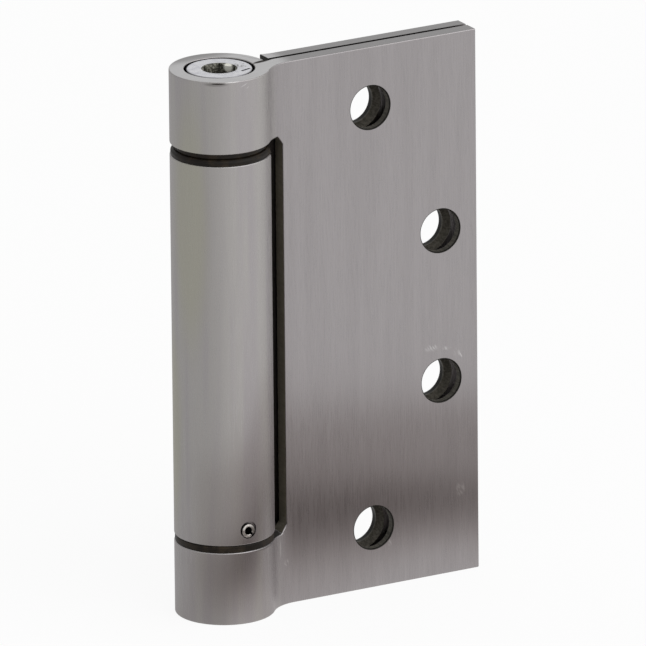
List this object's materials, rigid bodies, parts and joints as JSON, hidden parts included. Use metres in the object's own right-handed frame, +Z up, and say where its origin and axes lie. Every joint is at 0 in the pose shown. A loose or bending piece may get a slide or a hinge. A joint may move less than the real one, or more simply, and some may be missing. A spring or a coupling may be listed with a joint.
{
  "type": "self-closing barrel hinge",
  "caption": "Full-mortise butt hinge with flat leaves and a rolled barrel that holds a torsion spring, set by a hexagon socket in the top plug.",
  "frame": {"origin": "on the pin axis, at the flush end face of the cap in the bottom knuckle, which is the hinge's foot", "axes": "+Z up along the pin axis; +X from the pin axis to the free edges of the closed leaves; -Y out of the leaf with the end knuckles"},
  "size_m": [0.0672, 0.0203, 0.1143],
  "materials": {
    "brushed_stainless": "satin, brushed along the barrel",
    "black_acetal": "moulded",
    "turned_steel": "turned, bright",
    "spring_steel": "drawn wire"
  },
  "bodies": {
    "frame_leaf": {"end_knuckle_leaf": "brushed_stainless", "upper_knuckle_bush": "black_acetal", "lower_bush": "black_acetal", "bottom_cap": "turned_steel"},
    "swing_leaf": {"barrel_leaf": "brushed_stainless", "barrel_bush": "black_acetal", "spring_anchor": "turned_steel", "anchor_roll_pin": "spring_steel", "closing_spring": "spring_steel"},
    "adjuster": {"tension_adjuster": "turned_steel", "tension_pin": "turned_steel"}
  },
  "joints": [
    {"name": "leaf_swing", "type": "hinge", "parent": "frame_leaf", "child": "swing_leaf", "pos_m": [0, 0, 0.05715], "axis": [0, 0, 1], "range_deg": [0, 180], "stiffness_Nm_per_rad": 1.2, "springref_deg": -57.3, "deforming": ["closing_spring"]},
    {"name": "tension_adjust", "type": "hinge", "parent": "frame_leaf", "child": "adjuster", "pos_m": [0, 0, 0.05715], "axis": [0, 0, 1], "range_deg": [-60, 0], "stiffness_Nm_per_rad": 1.2, "springref_deg": 57.3}
  ]
}
